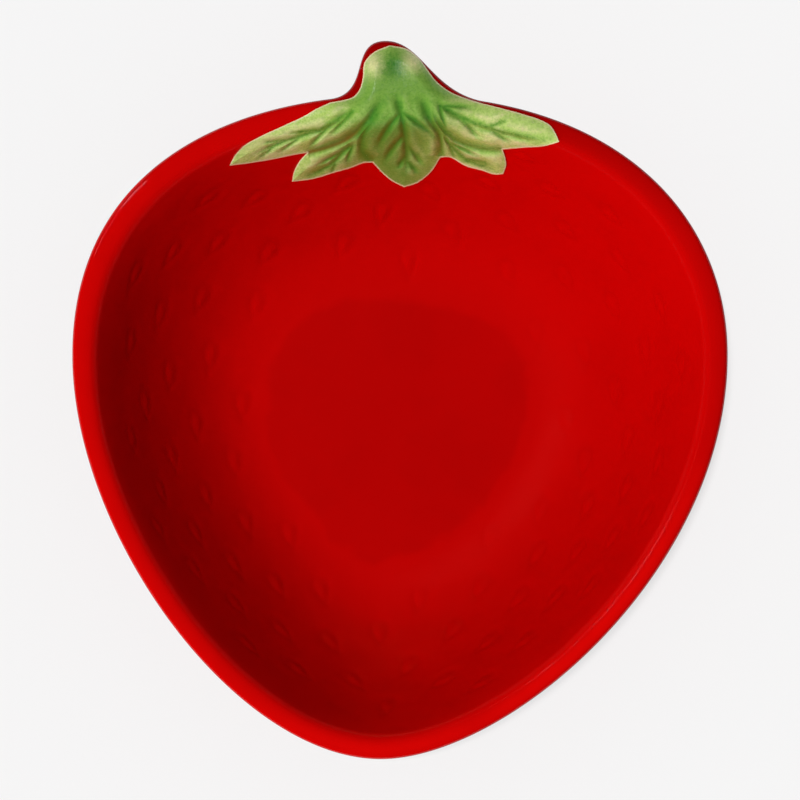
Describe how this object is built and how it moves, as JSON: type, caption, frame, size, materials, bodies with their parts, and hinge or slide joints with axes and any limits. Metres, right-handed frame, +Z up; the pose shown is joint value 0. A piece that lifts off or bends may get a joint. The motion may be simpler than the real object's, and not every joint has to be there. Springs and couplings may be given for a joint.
{
  "type": "bowl",
  "caption": "Strawberry-shaped earthenware bowl with a rounded lip, a stem lug and a leaf calyx in relief, standing on a low foot ring.",
  "frame": {"origin": "on the table plane, under the middle of the bowl's plan box", "axes": "+Z up out of the bowl, +Y from the tip of the berry towards the stem, +X to the right seen from above with the stem at the top"},
  "size_m": [0.146, 0.16, 0.0493],
  "materials": {
    "red_glaze": "gloss red glaze",
    "bare_clay": "unglazed pale clay, wiped matt",
    "leaf_glaze": "gloss green glaze, darker where it pools"
  },
  "bodies": {
    "root": {"bowl_body": "red_glaze", "foot_ring": "bare_clay", "stem_cap": "leaf_glaze", "sepal_left_outer": "leaf_glaze", "sepal_left_inner": "leaf_glaze", "sepal_centre": "leaf_glaze", "sepal_right_inner": "leaf_glaze", "sepal_right_outer": "leaf_glaze"}
  },
  "joints": []
}
